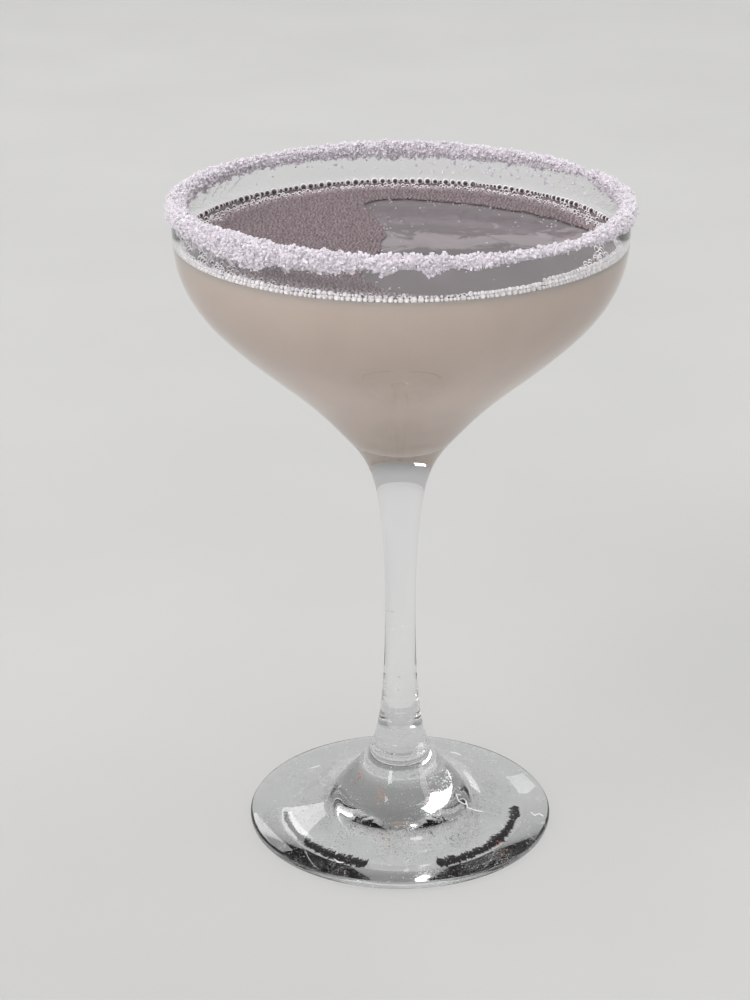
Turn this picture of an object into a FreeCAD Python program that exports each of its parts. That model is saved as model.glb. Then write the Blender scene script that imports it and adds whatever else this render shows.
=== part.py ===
import FreeCAD, Part

import math
import os

import Sketcher

# A margarita in a stemmed coupe glass with a salted rim, standing upright.
# Millimetres, +Z up, X to the right, Y to the back. The origin is the middle of the foot's
# contact face, and the glass's own axis is Z.
#
# Nodes:
#   glass     foot, stem and bowl, blown in one piece
#   drink     the cloudy drink, solid up to its level
#   foam      the froth on the drink: a ring at the wall and a patch over the left side
#   salt_rim  the crust of salt round the lip

# ------------------------------------------------------------------ driving dimensions (mm)

SIZES = {
    # Heights, stacked from the table up.
    "foot_to_waist": 60.0,       # the stem is thinnest here
    "waist_to_floor": 48.0,      # from the waist up to the bottom of the cavity
    "bowl_depth": 60.0,          # from the bottom of the cavity up to the lip
    "drink_below_lip": 9.2,      # from the lip down to the drink's level
    "foam_thick": 1.2,
    # Bowl, outside.
    "rim_radius": 55.2,
    "lip_straight": 7.0,         # upright wall under the lip
    "wall_straight": 12.0,       # nearly upright wall under that
    "shoulder_inset": 12.6,      # how far the shoulder's pole lies inside the rim
    "shoulder_rise": 26.3,       # heights of the bowl's poles above the cavity's bottom
    "flank_radius": 24.0,
    "flank_rise": 11.9,
    "tulip_radius": 13.6,
    "throat_drop": 10.6,         # below the cavity's bottom
    "throat_spread": 0.46,       # the throat's pole lies this far outside the stem
    # Bowl, inside.
    "wall": 1.3,                 # thickness at the lip
    "shoulder_wall": 1.75,       # thickness at the shoulder, measured upright
    "flank_wall": 2.6,           # thickness at the flank, measured upright
    "floor_spread": 8.2,         # the larger, the flatter the bottom of the cavity
    "lip_round": 0.59,
    # Stem and foot.
    "stem_radius": 3.94,
    "stem_top": 7.0,             # straight stretch above the waist
    "stem_bottom": 13.0,         # straight stretch below the waist
    "flare_start_radius": 5.0,
    "flare_start_height": 20.7,
    "flare_radius": 13.9,
    "flare_height": 13.7,
    "foot_slope_radius": 20.8,
    "foot_slope_height": 4.4,
    "foot_radius": 39.9,
    "foot_edge_lift": 0.7,       # the edge stays this far above the table
    "foot_edge_thick": 1.9,
    "foot_edge_round": 0.8,
    "contact_inset": 7.4,        # from the foot's edge in to the ring that it stands on
    "contact_width": 2.6,
    "dome_rise": 3.2,            # hollow under the foot
    # Salt crust: how far it stands off the glass and how far it reaches down.
    "salt_seat": 0.02,
    "salt_outside": 1.15,
    "salt_above": 1.1,
    "salt_inside": 1.15,
    "salt_skirt_outside": 3.4,
    "salt_skirt_inside": 4.2,
    "salt_drip": 1.5,            # extra reach at the heavy front left side
}

# The clear patch in the froth. Along the wall each pole of its edge is given by its bearing
# (degrees from +X to +Y) and by the width of the froth left there; the other poles cross the
# middle of the surface and are given by X and Y.
PATCH_WALL_BEARINGS = (106, 75, 40, 12, -12, -38, -64, -90)
PATCH_WALL_RINGS = (15.0, 16.0, 15.0, 6.0, 3.5, 3.0, 2.5, 2.5)
PATCH_FREE_POLES = ((-11.0, -36.0), (-7.0, -20.0), (-4.5, -6.0), (-3.0, 6.0), (-9.0, 22.0))

# Unevenness of the salt crust: (waves round the rim, phase), mixed into one wandering value.
SALT_WAVES = ((2, 0.6), (5, 2.1), (11, 4.0), (17, 1.2), (29, 5.1), (41, 3.3))
SALT_SEGMENTS = 144
SALT_HEAVY_BEARING = math.radians(222)
SALT_GAP_BEARING = math.radians(31)
SALT_GAP_WIDTH = math.radians(3.0)
SALT_MIN_SHARE = 0.3

# ------------------------------------------------------------------ the document and its sheet

doc = FreeCAD.newDocument("Margarita")
sheet = doc.addObject("Spreadsheet::Sheet", "Sizes")


class Size:
    """A length together with the sheet expression that it comes from."""

    def __init__(self, number, text):
        self.number = float(number)
        self.text = text

    def __add__(self, other):
        return Size(self.number + other.number, "({} + {})".format(self.text, other.text))

    def __sub__(self, other):
        return Size(self.number - other.number, "({} - {})".format(self.text, other.text))

    def __mul__(self, factor):
        return Size(self.number * factor, "({} * {!r})".format(self.text, factor))


def fill_sheet(values):
    """Write each value into the sheet under its alias, and return them as Size objects."""
    sizes = {}
    for row, (alias, number) in enumerate(values.items(), start=1):
        sheet.set("A{}".format(row), alias)
        sheet.set("B{}".format(row), repr(number))
        sheet.setAlias("B{}".format(row), alias)
        sizes[alias] = Size(number, "Sizes." + alias)
    doc.recompute()
    return sizes


for index, ring in enumerate(PATCH_WALL_RINGS):
    SIZES["patch_ring_{}".format(index)] = ring
for index, (pole_x, pole_y) in enumerate(PATCH_FREE_POLES):
    SIZES["patch_x_{}".format(index)] = pole_x
    SIZES["patch_y_{}".format(index)] = pole_y

S = fill_sheet(SIZES)
ZERO = Size(0, "0")

# Levels that several pieces share.
WAIST = S["foot_to_waist"]
FLOOR = WAIST + S["waist_to_floor"]
RIM = FLOOR + S["bowl_depth"]
LEVEL = RIM - S["drink_below_lip"]
FOAM_TOP = LEVEL + S["foam_thick"]
INNER_RADIUS = S["rim_radius"] - S["wall"]


def limited(round_alias, thick_alias):
    """A fillet radius that stays just under half of the thickness that it rounds off."""
    size, thickness = S[round_alias], S[thick_alias]
    share = 0.46
    text = "min({}; {!r} * {})".format(size.text, share, thickness.text)
    return Size(min(size.number, share * thickness.number), text)


LIP_ROUND = limited("lip_round", "wall")
FOOT_EDGE_ROUND = limited("foot_edge_round", "foot_edge_thick")

# ------------------------------------------------------------------ sketches


class Outline:
    """A closed sketch outline, drawn stretch by stretch, whose points are bound to the sheet."""

    def __init__(self, body, name, plane_role):
        self.sketch = body.newObject("Sketcher::SketchObject", name)
        plane = next(f for f in body.Origin.OriginFeatures if f.Role == plane_role)
        self.sketch.AttachmentSupport = [(plane, "")]
        self.sketch.MapMode = "FlatFace"
        self.stretches = []

    def constrain(self, *arguments):
        return self.sketch.addConstraint(Sketcher.Constraint(*arguments))

    def bind(self, geometry, point, x, y):
        """Fix a point at (x, y); a zero is held by the axis itself."""
        for kind, size, axis in (("DistanceX", x, -2), ("DistanceY", y, -1)):
            if size.number == 0:
                self.constrain("PointOnObject", geometry, point, axis)
                continue
            if size.number > 0:
                constraint = self.constrain(kind, -1, 1, geometry, point, size.number)
                text = size.text
            else:
                constraint = self.constrain(kind, geometry, point, -1, 1, -size.number)
                text = "-1 * " + size.text
            self.sketch.setExpression("Constraints[{}]".format(constraint), text)

    def line(self, start, end):
        """A straight stretch; its start is bound, and its end meets the next stretch."""
        points = [FreeCAD.Vector(x.number, y.number, 0) for x, y in (start, end)]
        geometry = self.sketch.addGeometry(Part.LineSegment(*points))
        self.bind(geometry, 1, *start)
        self.stretches.append(geometry)

    def dome(self, start, end):
        """A low arc about a centre on the axis, from a bound start on the axis outwards."""
        rise = start[1].number - end[1].number
        radius = (rise ** 2 + end[0].number ** 2) / (2 * rise)
        centre = FreeCAD.Vector(0, start[1].number - radius, 0)
        half_angle = math.asin(end[0].number / radius)
        circle = Part.Circle(centre, FreeCAD.Vector(0, 0, 1), radius)
        arc = Part.ArcOfCircle(circle, math.pi / 2 - half_angle, math.pi / 2)
        geometry = self.sketch.addGeometry(arc)
        self.bind(geometry, 2, *start)
        self.constrain("PointOnObject", geometry, 3, -2)
        self.stretches.append((geometry, 2, 1))

    def spline(self, poles, closed=False):
        """A cubic spline with bound poles; its last pole, where it is open, meets the next stretch."""
        vectors = [FreeCAD.Vector(x.number, y.number, 0) for x, y in poles]
        count = len(poles)
        curve = Part.BSplineCurve()
        if closed:
            curve.buildFromPolesMultsKnots(vectors, [1] * (count + 1), list(range(count + 1)), True, 3)
        else:
            multiplicities = [4] + [1] * (count - 4) + [4]
            curve.buildFromPolesMultsKnots(vectors, multiplicities, list(range(count - 2)), False, 3)
        geometry = self.sketch.addGeometry(curve)
        self.sketch.exposeInternalGeometry(geometry)
        bound = poles if closed else poles[:-1]
        for number, (x, y) in enumerate(bound, start=1):
            self.bind(geometry + number, 3, x, y)
        if not closed:
            self.stretches.append(geometry)

    def close(self):
        """Join the end of each stretch to the start of the next."""
        ends = [s if isinstance(s, tuple) else (s, 1, 2) for s in self.stretches]
        for (before, _, end), (after, start, _) in zip(ends, ends[1:] + ends[:1]):
            self.constrain("Coincident", before, end, after, start)
        return self.sketch

    def polygon(self, corners):
        for start, end in zip(corners, corners[1:] + corners[:1]):
            self.line(start, end)
        return self.close()


def revolve(body, kind, name, sketch):
    """Turn a sketch once about the upright axis, adding (Revolution) or cutting (Groove)."""
    feature = body.newObject("PartDesign::" + kind, name)
    feature.Profile = sketch
    feature.ReferenceAxis = (sketch, ["V_Axis"])
    feature.Angle = 360
    sketch.Visibility = False
    doc.recompute()
    return feature


def cut(body, make_feature):
    """Make a cutting feature and refuse it if it took nothing away."""
    before = body.Shape.Volume
    feature = make_feature()
    if not feature.Shape.Volume < before - 1.0:
        raise RuntimeError(feature.Label + " cuts nothing")
    return feature


def is_circle_at(edge, radius, height):
    if edge.Degenerated or edge.Curve.TypeId != "Part::GeomCircle":
        return False
    circle = edge.Curve
    return abs(circle.Radius - radius) < 0.01 and abs(circle.Center.z - height) < 0.01


def round_edges(body, base, name, places, radius_text):
    """Fillet the circular edges that pass through the given (radius, height) places."""
    names = []
    for number, edge in enumerate(base.Shape.Edges, start=1):
        if any(is_circle_at(edge, radius.number, height.number) for radius, height in places):
            names.append("Edge{}".format(number))
    if len(names) != len(places):
        raise RuntimeError("{}: {} edges found for {}".format(name, len(names), len(places)))
    fillet = body.newObject("PartDesign::Fillet", name)
    fillet.Base = (base, names)
    fillet.setExpression("Radius", radius_text)
    doc.recompute()
    return fillet


def new_body(label):
    body = doc.addObject("PartDesign::Body", label)
    body.Label = label
    return body


def rectangle(body, name, bottom, top):
    """An upright rectangle from the axis out past the rim, between two heights."""
    outline = Outline(body, name, "XZ_Plane")
    reach = S["rim_radius"] * 1.2
    return outline.polygon([(ZERO, bottom), (reach, bottom), (reach, top), (ZERO, top)])


# ------------------------------------------------------------------ the glass


def cavity_sketch(body, name):
    """The inside of the bowl, from the middle of its bottom up to the lip."""
    outline = Outline(body, name, "XZ_Plane")
    straight_from = RIM - S["lip_straight"]
    shoulder = FLOOR + S["shoulder_rise"] + S["shoulder_wall"]
    flank = FLOOR + S["flank_rise"] + S["flank_wall"]
    outline.line((ZERO, RIM), (INNER_RADIUS, RIM))
    outline.line((INNER_RADIUS, RIM), (INNER_RADIUS, straight_from))
    outline.spline([
        (INNER_RADIUS, straight_from),
        (INNER_RADIUS, straight_from - S["wall_straight"] + S["wall"]),
        (S["rim_radius"] - S["shoulder_inset"], shoulder),
        (S["flank_radius"], flank),
        (S["floor_spread"], FLOOR),
        (ZERO, FLOOR),
    ])
    outline.line((ZERO, FLOOR), (ZERO, RIM))
    return outline.close()


def outside_sketch(body):
    """The outside of foot, stem and bowl, with the hollow under the foot."""
    outline = Outline(body, "GlassOutline", "XZ_Plane")
    contact_outside = S["foot_radius"] - S["contact_inset"]
    contact_inside = contact_outside - S["contact_width"]
    foot_edge_top = S["foot_edge_lift"] + S["foot_edge_thick"]
    straight_from = RIM - S["lip_straight"]
    stem = S["stem_radius"]
    outline.dome((ZERO, S["dome_rise"]), (contact_inside, ZERO))
    outline.line((contact_inside, ZERO), (contact_outside, ZERO))
    outline.line((contact_outside, ZERO), (S["foot_radius"], S["foot_edge_lift"]))
    outline.line((S["foot_radius"], S["foot_edge_lift"]), (S["foot_radius"], foot_edge_top))
    outline.spline([
        (S["foot_radius"], foot_edge_top),
        (S["foot_slope_radius"], S["foot_slope_height"]),
        (S["flare_radius"], S["flare_height"]),
        (S["flare_start_radius"], S["flare_start_height"]),
        (stem, WAIST - S["stem_bottom"]),
        (stem, WAIST),
    ])
    outline.spline([
        (stem, WAIST),
        (stem, WAIST + S["stem_top"]),
        (stem + S["throat_spread"], FLOOR - S["throat_drop"]),
        (S["tulip_radius"], FLOOR),
        (S["flank_radius"], FLOOR + S["flank_rise"]),
        (S["rim_radius"] - S["shoulder_inset"], FLOOR + S["shoulder_rise"]),
        (S["rim_radius"], straight_from - S["wall_straight"]),
        (S["rim_radius"], straight_from),
    ])
    outline.line((S["rim_radius"], straight_from), (S["rim_radius"], RIM))
    outline.line((S["rim_radius"], RIM), (ZERO, RIM))
    outline.line((ZERO, RIM), (ZERO, S["dome_rise"]))
    return outline.close()


def make_glass():
    body = new_body("glass")
    revolve(body, "Revolution", "GlassOutside", outside_sketch(body))
    hollow = cut(body, lambda: revolve(body, "Groove", "Cavity", cavity_sketch(body, "CavityOutline")))
    lip = [(S["rim_radius"], RIM), (INNER_RADIUS, RIM)]
    rounded = round_edges(body, hollow, "LipRound", lip, LIP_ROUND.text)
    edge_top = S["foot_edge_lift"] + S["foot_edge_thick"]
    foot_edge = [(S["foot_radius"], S["foot_edge_lift"]), (S["foot_radius"], edge_top)]
    round_edges(body, rounded, "FootEdgeRound", foot_edge, FOOT_EDGE_ROUND.text)
    return body


# ------------------------------------------------------------------ the drink and its froth


def make_drink():
    body = new_body("drink")
    revolve(body, "Revolution", "DrinkFill", cavity_sketch(body, "DrinkOutline"))
    above = rectangle(body, "DrinkAbove", LEVEL, RIM)
    cut(body, lambda: revolve(body, "Groove", "DrinkLevel", above))
    return body


def patch_poles():
    """The edge of the clear patch: along the wall first, then back across the surface."""
    poles = []
    for index, bearing in enumerate(PATCH_WALL_BEARINGS):
        reach = INNER_RADIUS - S["patch_ring_{}".format(index)]
        angle = math.radians(bearing)
        poles.append((reach * round(math.cos(angle), 6), reach * round(math.sin(angle), 6)))
    for index in range(len(PATCH_FREE_POLES)):
        poles.append((S["patch_x_{}".format(index)], S["patch_y_{}".format(index)]))
    return poles


def make_foam():
    body = new_body("foam")
    revolve(body, "Revolution", "FoamFill", cavity_sketch(body, "FoamOutline"))
    below = rectangle(body, "FoamBelow", WAIST, LEVEL)
    cut(body, lambda: revolve(body, "Groove", "FoamUnderside", below))
    above = rectangle(body, "FoamAbove", FOAM_TOP, RIM)
    cut(body, lambda: revolve(body, "Groove", "FoamTop", above))
    patch = Outline(body, "PatchOutline", "XY_Plane")
    patch.spline(patch_poles(), closed=True)

    def clear_patch():
        pocket = body.newObject("PartDesign::Pocket", "ClearPatch")
        pocket.Profile = patch.sketch
        pocket.Type = "ThroughAll"
        pocket.Midplane = True
        patch.sketch.Visibility = False
        doc.recompute()
        return pocket

    cut(body, clear_patch)
    return body


# ------------------------------------------------------------------ the salt crust


def wander(bearing, shift):
    """A value between -1 and 1 that varies round the rim and meets itself."""
    waves = [math.sin(count * bearing + phase * shift) for count, phase in SALT_WAVES]
    return sum(waves) / len(waves) ** 0.5 / 1.8


def salt_share(bearing):
    """How full the crust is at a bearing: full, but for one worn gap."""
    away = math.remainder(bearing - SALT_GAP_BEARING, 2 * math.pi) / SALT_GAP_WIDTH
    return 1 - (1 - SALT_MIN_SHARE) * math.exp(-away ** 2)


def salt_section(bearing):
    """The crust's section at a bearing, as (radius, height) corners round an upturned U.

    Its inside is a seat that clears the lip; its outside follows the lip at uneven distances.
    """
    share = salt_share(bearing)
    heavy = max(0.0, math.cos(bearing - SALT_HEAVY_BEARING)) ** 4
    outside = S["salt_outside"].number * share * (1 + 0.35 * wander(bearing, 1.0))
    above = S["salt_above"].number * share * (1 + 0.35 * wander(bearing, 2.3))
    inside = S["salt_inside"].number * share * (1 + 0.35 * wander(bearing, 3.7))
    down_outside = S["salt_skirt_outside"].number * share * (1 + 0.35 * wander(bearing, 5.2))
    down_outside += S["salt_drip"].number * heavy
    down_inside = S["salt_skirt_inside"].number * share * (1 + 0.35 * wander(bearing, 6.4))

    lip = LIP_ROUND.number
    # A straight corner cut stays outside the lip's round when it starts this much further out.
    reach = lip / math.cos(math.radians(22.5)) + S["salt_seat"].number
    diagonal = reach * math.cos(math.radians(45))
    rim = RIM.number
    centre_out = S["rim_radius"].number - lip
    centre_in = INNER_RADIUS.number + lip
    wall_out = centre_out + reach
    wall_in = centre_in - reach
    lip_centre = rim - lip
    return [
        (wall_out, rim - down_outside),
        (wall_out + 0.6 * outside, rim - 0.85 * down_outside),
        (wall_out + outside, rim - 0.45 * down_outside),
        (wall_out + 0.9 * outside, rim + 0.1 * above),
        (centre_out + 0.5 * outside, rim + above),
        (centre_in - 0.5 * inside, rim + 0.95 * above),
        (wall_in - 0.9 * inside, rim + 0.1 * above),
        (wall_in - inside, rim - 0.45 * down_inside),
        (wall_in - 0.6 * inside, rim - 0.85 * down_inside),
        (wall_in, rim - down_inside),
        (wall_in, lip_centre),
        (centre_in - diagonal, lip_centre + diagonal),
        (centre_in, lip_centre + reach),
        (centre_out, lip_centre + reach),
        (centre_out + diagonal, lip_centre + diagonal),
        (wall_out, lip_centre),
    ]


def ring_solid(section, segments):
    """A closed faceted ring about Z, through the section at each of its bearings."""
    points = []
    for step in range(segments):
        bearing = 2 * math.pi * step / segments
        for radius, height in section(bearing):
            points.append((radius * math.cos(bearing), radius * math.sin(bearing), height))
    corners = len(points) // segments
    facets = []
    for step in range(segments):
        here, there = step * corners, (step + 1) % segments * corners
        for corner in range(corners):
            after = (corner + 1) % corners
            facets.append((here + corner, there + corner, there + after))
            facets.append((here + corner, there + after, here + after))
    shell = Part.Shape()
    shell.makeShapeFromMesh((points, facets), 0.001)
    solid = Part.Solid(Part.Shell(shell.Faces))
    return solid if solid.Volume > 0 else solid.reversed()


def make_salt_rim():
    crust = doc.addObject("Part::Feature", "salt_rim")
    crust.Label = "salt_rim"
    crust.Shape = ring_solid(salt_section, SALT_SEGMENTS)
    crust.Placement = FreeCAD.Placement()
    return crust


# ------------------------------------------------------------------ build, check and write


def main():
    pieces = [make_glass(), make_drink(), make_foam(), make_salt_rim()]
    doc.recompute()
    for item in doc.Objects:
        if "Invalid" in item.State or "Error" in item.State:
            raise RuntimeError("{} failed: {}".format(item.Label, item.State))
    os.makedirs("parts", exist_ok=True)
    for piece in pieces:
        shape = piece.Shape
        if shape.isNull() or not shape.isValid() or len(shape.Solids) != 1:
            raise RuntimeError(piece.Label + " is not one valid solid")
        shape.exportStep("parts/{}.step".format(piece.Label))
        print("{}: {:.2f} cm3".format(piece.Label, shape.Volume / 1000))


main()
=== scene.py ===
import math
import random
from itertools import product

import bpy
import numpy as np
from mathutils import Matrix, Vector, noise


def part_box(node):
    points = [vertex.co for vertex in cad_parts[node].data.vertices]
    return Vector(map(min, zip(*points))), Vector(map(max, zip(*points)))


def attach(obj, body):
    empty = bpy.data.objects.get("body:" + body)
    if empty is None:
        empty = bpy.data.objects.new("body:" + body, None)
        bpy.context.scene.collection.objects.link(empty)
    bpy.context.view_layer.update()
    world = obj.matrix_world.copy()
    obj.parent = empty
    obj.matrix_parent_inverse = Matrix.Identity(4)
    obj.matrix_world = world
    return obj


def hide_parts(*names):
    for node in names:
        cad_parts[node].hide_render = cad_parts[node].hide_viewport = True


# Looks of the margarita: a turned clear glass, the cloudy drink with its meniscus, the froth
# as single bubbles, and the salt crust as single grains. Metres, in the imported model's frame:
# Z is the glass's axis, and the foot stands on Z = 0.

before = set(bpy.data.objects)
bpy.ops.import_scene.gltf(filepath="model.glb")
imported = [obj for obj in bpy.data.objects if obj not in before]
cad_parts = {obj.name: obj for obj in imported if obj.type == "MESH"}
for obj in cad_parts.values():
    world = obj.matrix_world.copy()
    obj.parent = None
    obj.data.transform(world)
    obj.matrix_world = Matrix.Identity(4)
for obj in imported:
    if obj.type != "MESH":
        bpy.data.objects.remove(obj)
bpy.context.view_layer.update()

MM = 0.001
SEED = 7
RANDOM = random.Random(SEED)
noise.seed_set(SEED)  # or noise_vector's offsets differ from run to run

# ---- sizes

glass_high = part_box("glass")[1]
drink_low, drink_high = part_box("drink")
RIM = glass_high.z
RIM_RADIUS = glass_high.x
FLOOR = drink_low.z  # bottom of the cavity
LEVEL = drink_high.z

WALL = 1.3 * MM
SHOULDER_WALL = 1.75 * MM
FLANK_WALL = 2.6 * MM
LIP_ROUND = 0.59 * MM
LIP_STRAIGHT = 7.0 * MM
WALL_STRAIGHT = 12.0 * MM
SHOULDER_INSET = 12.6 * MM
SHOULDER_RISE = 26.3 * MM
FLANK_RADIUS = 24.0 * MM
FLANK_RISE = 11.9 * MM
FLOOR_SPREAD = 8.2 * MM
TULIP_RADIUS = 13.6 * MM
THROAT_DROP = 10.6 * MM
THROAT_SPREAD = 0.46 * MM
WAIST = FLOOR - 48.0 * MM
STEM_RADIUS = 3.94 * MM
STEM_TOP = 7.0 * MM
STEM_BOTTOM = 13.0 * MM
FLARE_START = (5.0 * MM, 20.7 * MM)
FLARE = (13.9 * MM, 13.7 * MM)
FOOT_SLOPE = (20.8 * MM, 4.4 * MM)
FOOT_RADIUS = 39.9 * MM
EDGE_LIFT = 0.7 * MM
EDGE_TOP = EDGE_LIFT + 1.9 * MM
EDGE_ROUND = 0.8 * MM
CONTACT_OUTSIDE = FOOT_RADIUS - 7.4 * MM
CONTACT_INSIDE = CONTACT_OUTSIDE - 2.6 * MM
CONTACT_ROUND_IN = 0.4 * MM
CONTACT_ROUND_OUT = 2.0 * MM
DOME_RISE = 3.2 * MM
DOME_SPHERE = (DOME_RISE ** 2 + CONTACT_INSIDE ** 2) / (2 * DOME_RISE)

# The faint rings that the hot stem leaves where it was joined to the foot: height, rise, width.
JOINT_RINGS = (
    (33.0 * MM, 0.05 * MM, 0.5 * MM),
    (21.5 * MM, 0.07 * MM, 0.6 * MM),
    (17.0 * MM, 0.05 * MM, 0.7 * MM),
)

INNER_RADIUS = RIM_RADIUS - WALL
STRAIGHT_FROM = RIM - LIP_STRAIGHT

# The upper face of the foot and the lower half of the stem, from the foot's edge inwards.
FOOT_POLES = (
    (FOOT_RADIUS, EDGE_TOP),
    FOOT_SLOPE,
    FLARE,
    FLARE_START,
    (STEM_RADIUS, WAIST - STEM_BOTTOM),
    (STEM_RADIUS, WAIST),
)

# ---- curves


def spline(poles, steps):
    """Points along the clamped cubic spline with these poles."""
    poles = np.array(poles, float)
    count = len(poles)
    knots = np.concatenate([[0] * 3, np.arange(count - 2), [count - 3] * 3]).astype(float)
    along = np.clip(np.linspace(0, count - 3, steps), 0, count - 3 - 1e-9)
    basis = np.array([(low <= along) & (along < high) for low, high in zip(knots, knots[1:])], float)
    for degree in (1, 2, 3):
        for i in range(len(knots) - 1 - degree):
            rise = knots[i + degree] - knots[i]
            fall = knots[i + degree + 1] - knots[i + 1]
            left = (along - knots[i]) / rise * basis[i] if rise else 0
            right = (knots[i + degree + 1] - along) / fall * basis[i + 1] if fall else 0
            basis[i] = left + right
    return basis[:count].T @ poles


def closed_spline(poles, steps):
    """Points along the closed cubic spline with these poles, steps to each pole."""
    poles = np.array(poles, float)
    u = np.linspace(0, 1, steps, endpoint=False)[:, None]
    weights = ((1 - u) ** 3, 3 * u ** 3 - 6 * u ** 2 + 4, -3 * u ** 3 + 3 * u ** 2 + 3 * u + 1, u ** 3)
    spans = []
    for i in range(len(poles)):
        spans.append(sum(w / 6 * poles[(i + k) % len(poles)] for k, w in enumerate(weights)))
    return np.concatenate(spans)


def rounded_corner(before, corner, after, radius, steps=7):
    """The arc that rounds off a corner between two points."""
    before, corner, after = (np.array(p, float) for p in (before, corner, after))
    back = (before - corner) / np.linalg.norm(before - corner)
    on = (after - corner) / np.linalg.norm(after - corner)
    half = math.acos(np.clip(back @ on, -1, 1)) / 2
    middle = (back + on) / np.linalg.norm(back + on)
    centre = corner + middle * radius / math.sin(half)
    start = corner + back * radius / math.tan(half) - centre
    end = corner + on * radius / math.tan(half) - centre
    turn = math.atan2(start[0] * end[1] - start[1] * end[0], start @ end)
    arc = []
    for share in np.linspace(0, 1, steps):
        c, s = math.cos(turn * share), math.sin(turn * share)
        arc.append(centre + np.array([c * start[0] - s * start[1], s * start[0] + c * start[1]]))
    return np.array(arc)


def inner_outline(steps=110):
    """The inside of the bowl, from the top of its curved wall down to its middle."""
    return spline([
        (INNER_RADIUS, STRAIGHT_FROM),
        (INNER_RADIUS, STRAIGHT_FROM - WALL_STRAIGHT + WALL),
        (RIM_RADIUS - SHOULDER_INSET, FLOOR + SHOULDER_RISE + SHOULDER_WALL),
        (FLANK_RADIUS, FLOOR + FLANK_RISE + FLANK_WALL),
        (FLOOR_SPREAD, FLOOR),
        (0, FLOOR),
    ], steps)


INNER = inner_outline()


def inner_radius(height):
    """Radius of the bowl's inside at a height."""
    return float(np.interp(height, INNER[::-1, 1], INNER[::-1, 0]))


def hollow_height(radius):
    """Height of the foot's hollow underside, part of a sphere, at a radius."""
    return DOME_RISE - DOME_SPHERE + np.sqrt(DOME_SPHERE ** 2 - radius ** 2)


def joint_ripples(points):
    """The outline with the joint's rings raised on it."""
    points = points.copy()
    for height, rise, width in JOINT_RINGS:
        points[:, 0] += rise * np.exp(-((points[:, 1] - height) / width) ** 2)
    return points


def glass_outline():
    """Half section of the glass, from the middle of its underside round to the cavity's bottom."""
    hollow_r = np.linspace(0, CONTACT_INSIDE, 28)[:-1]
    hollow = np.stack([hollow_r, hollow_height(hollow_r)], 1)
    contact_in, contact_out = (CONTACT_INSIDE, 0), (CONTACT_OUTSIDE, 0)
    edge_low, edge_high = (FOOT_RADIUS, EDGE_LIFT), (FOOT_RADIUS, EDGE_TOP)
    foot = joint_ripples(spline(FOOT_POLES, 230))
    past_edge = 8  # the foot's first points give way to its rounded edge
    bowl = spline([
        (STEM_RADIUS, WAIST),
        (STEM_RADIUS, WAIST + STEM_TOP),
        (STEM_RADIUS + THROAT_SPREAD, FLOOR - THROAT_DROP),
        (TULIP_RADIUS, FLOOR),
        (FLANK_RADIUS, FLOOR + FLANK_RISE),
        (RIM_RADIUS - SHOULDER_INSET, FLOOR + SHOULDER_RISE),
        (RIM_RADIUS, STRAIGHT_FROM - WALL_STRAIGHT),
        (RIM_RADIUS, STRAIGHT_FROM),
    ], 150)
    lip_out, lip_in = (RIM_RADIUS, RIM), (INNER_RADIUS, RIM)
    low_out, low_in = (RIM_RADIUS, STRAIGHT_FROM), (INNER_RADIUS, STRAIGHT_FROM)
    return np.concatenate([
        hollow,
        rounded_corner(hollow[-1], contact_in, contact_out, CONTACT_ROUND_IN, 4),
        rounded_corner(contact_in, contact_out, edge_low, CONTACT_ROUND_OUT, 4),
        rounded_corner(contact_out, edge_low, edge_high, EDGE_ROUND),
        rounded_corner(edge_low, edge_high, foot[past_edge - 2], EDGE_ROUND),
        foot[past_edge:-1],
        bowl,
        rounded_corner(low_out, lip_out, lip_in, LIP_ROUND),
        rounded_corner(lip_out, lip_in, low_in, LIP_ROUND),
        INNER,
    ])


# ---- meshes


def around(radius, bearing, height):
    """The point at a radius and bearing round the glass's axis, at a height."""
    return Vector((radius * math.cos(bearing), radius * math.sin(bearing), height))


def mesh_piece(name, points, faces, material, smooth=True):
    """A new object from points and faces, that rides with the glass."""
    mesh = bpy.data.meshes.new(name)
    mesh.from_pydata([tuple(p) for p in points], [], [tuple(int(i) for i in f) for f in faces])
    mesh.validate()
    mesh.polygons.foreach_set("use_smooth", [smooth] * len(mesh.polygons))
    mesh.materials.append(material)
    mesh.update()
    piece = bpy.data.objects.new(name, mesh)
    bpy.context.scene.collection.objects.link(piece)
    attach(piece, "root")
    return piece


def lathe(name, outline, segments, material):
    """Turn a half section whose two ends lie on the axis."""
    rings = outline[1:-1]
    bearings = np.linspace(0, 2 * math.pi, segments, endpoint=False)
    points = [(0, 0, outline[0][1])]
    for radius, height in rings:
        points += [around(radius, bearing, height) for bearing in bearings]
    points.append((0, 0, outline[-1][1]))
    faces = []
    last = len(points) - 1
    final = 1 + (len(rings) - 1) * segments
    for k in range(segments):
        k2 = (k + 1) % segments
        faces.append((0, 1 + k2, 1 + k))
        for ring in range(len(rings) - 1):
            a, b = 1 + ring * segments, 1 + (ring + 1) * segments
            faces.append((a + k, a + k2, b + k2, b + k))
        faces.append((last, final + k, final + k2))
    return mesh_piece(name, points, faces, material)


# ---- materials


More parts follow.
